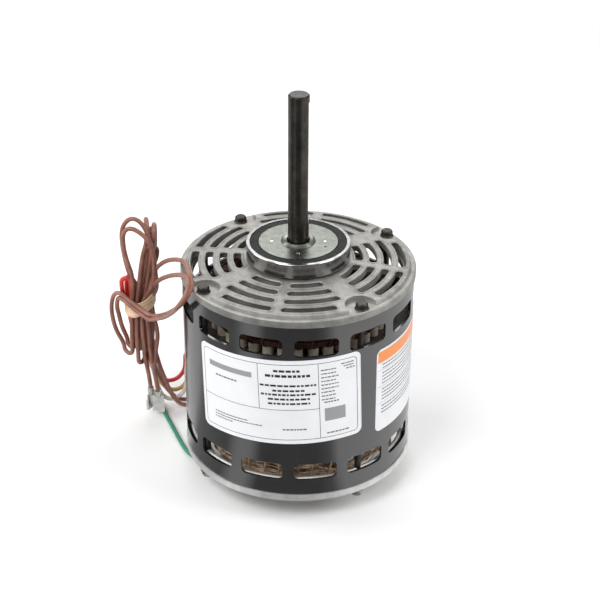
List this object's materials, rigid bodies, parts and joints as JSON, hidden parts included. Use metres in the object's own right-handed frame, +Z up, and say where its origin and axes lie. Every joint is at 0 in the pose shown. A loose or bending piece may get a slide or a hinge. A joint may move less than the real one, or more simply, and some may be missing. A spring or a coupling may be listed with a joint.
{
  "type": "blower motor",
  "caption": "Direct-drive blower motor for a furnace or air handler: black vented shell, cast end shields, rubber-mounted hub rings, plain shaft and a tied bundle of leads.",
  "frame": {"origin": "middle of the lower hub ring's end face, on which the motor stands, at the base of the object without its leads", "axes": "+Z up along the shaft, towards its driven end; +X to the right and +Y to the back as the picture sees it"},
  "size_m": [0.1895, 0.1436, 0.2519],
  "materials": {
    "black_shell": "gloss black enamel on rolled steel",
    "cast_aluminium": "as-cast die-cast aluminium, dull and slightly grainy",
    "lamination_steel": "oxide-coated lamination edges",
    "slot_paper": "cream insulating paper",
    "copper_winding": "enamelled copper wire with clear varnish",
    "bronze": "sintered bronze",
    "spring_steel": "plain spring steel",
    "felt": "oiled felt",
    "zinc_steel": "bright zinc-plated steel",
    "mount_rubber": "matte black rubber",
    "black_oxide_steel": "black oxide, satin",
    "shaft_steel": "ground steel with a dark oxide, satin",
    "cast_rotor": "cast aluminium cage",
    "collar_steel": "turned steel",
    "thrust_plastic": "natural nylon",
    "protector_case": "dark metal case",
    "brown_wire": "brown PVC insulation, slightly glossy",
    "white_wire": "white PVC insulation",
    "yellow_wire": "yellow PVC insulation",
    "red_wire": "red PVC insulation",
    "green_wire": "green PVC insulation",
    "band_rubber": "tan elastic band",
    "tinned_brass": "tin-plated brass"
  },
  "bodies": {
    "motor": {"shell": "black_shell", "upper_end_shield": "cast_aluminium", "lower_end_shield": "cast_aluminium", "stator_core": "lamination_steel", "slot_liners": "slot_paper", "stator_winding": "copper_winding", "thermal_protector": "protector_case", "upper_bearing": "bronze", "lower_bearing": "bronze", "upper_bearing_retainer": "spring_steel", "lower_bearing_retainer": "spring_steel", "upper_oil_wick": "felt", "lower_oil_wick": "felt", "upper_hub_cap": "zinc_steel", "lower_hub_cap": "zinc_steel", "upper_mount_rubber": "mount_rubber", "lower_mount_rubber": "mount_rubber", "upper_mount_band": "zinc_steel", "lower_mount_band": "zinc_steel", "through_bolts": "black_oxide_steel", "bolt_nuts": "black_oxide_steel", "lead_grommet": "mount_rubber", "ground_screw": "zinc_steel", "lead_brown_1": "brown_wire", "lead_brown_2": "brown_wire", "lead_white": "white_wire", "lead_yellow": "yellow_wire", "lead_red": "red_wire", "lead_loop_1": "brown_wire", "lead_loop_2": "brown_wire", "lead_tail_1": "brown_wire", "lead_tail_2": "brown_wire", "lead_green": "green_wire", "lead_hank": "brown_wire", "lead_tie_band": "band_rubber", "flag_terminal_1": "tinned_brass", "flag_terminal_2": "tinned_brass", "ground_terminal": "tinned_brass"},
    "rotor": {"shaft": "shaft_steel", "rotor_core": "lamination_steel", "upper_rotor_ring": "cast_rotor", "lower_rotor_ring": "cast_rotor", "upper_thrust_collar": "collar_steel", "lower_thrust_collar": "collar_steel", "upper_thrust_washer": "thrust_plastic", "lower_thrust_washer": "thrust_plastic"}
  },
  "joints": [
    {"name": "rotor_spin", "type": "hinge", "parent": "motor", "child": "rotor", "pos_m": [0, 0, 0.07848], "axis": [0, 0, 1], "continuous": true}
  ]
}
